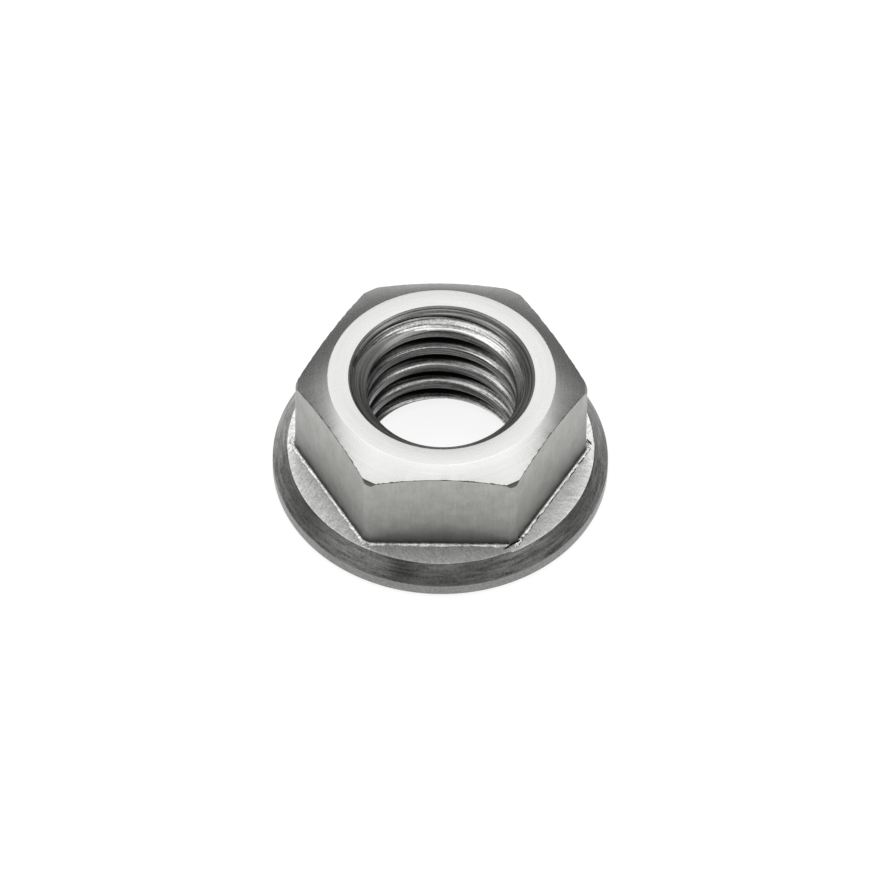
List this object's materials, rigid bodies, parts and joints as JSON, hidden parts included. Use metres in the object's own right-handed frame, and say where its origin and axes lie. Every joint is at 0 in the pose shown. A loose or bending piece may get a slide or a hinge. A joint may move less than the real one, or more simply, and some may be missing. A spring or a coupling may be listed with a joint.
{
  "type": "flange nut",
  "caption": "Hexagon nut with a built-in washer flange, a chamfered top and a countersunk threaded bore. It clamps parts on a bolt or stud.",
  "frame": {"origin": "centre of the bore, on the bearing face", "axes": "+Z along the bore from the bearing face to the hexagon's top, -Y out of one flat, +X through a corner"},
  "size_m": [0.0158, 0.0158, 0.0065],
  "materials": {
    "titanium": "machined titanium, satin, with fine turning marks"
  },
  "bodies": {
    "root": {"flange_nut": "titanium"}
  },
  "joints": []
}
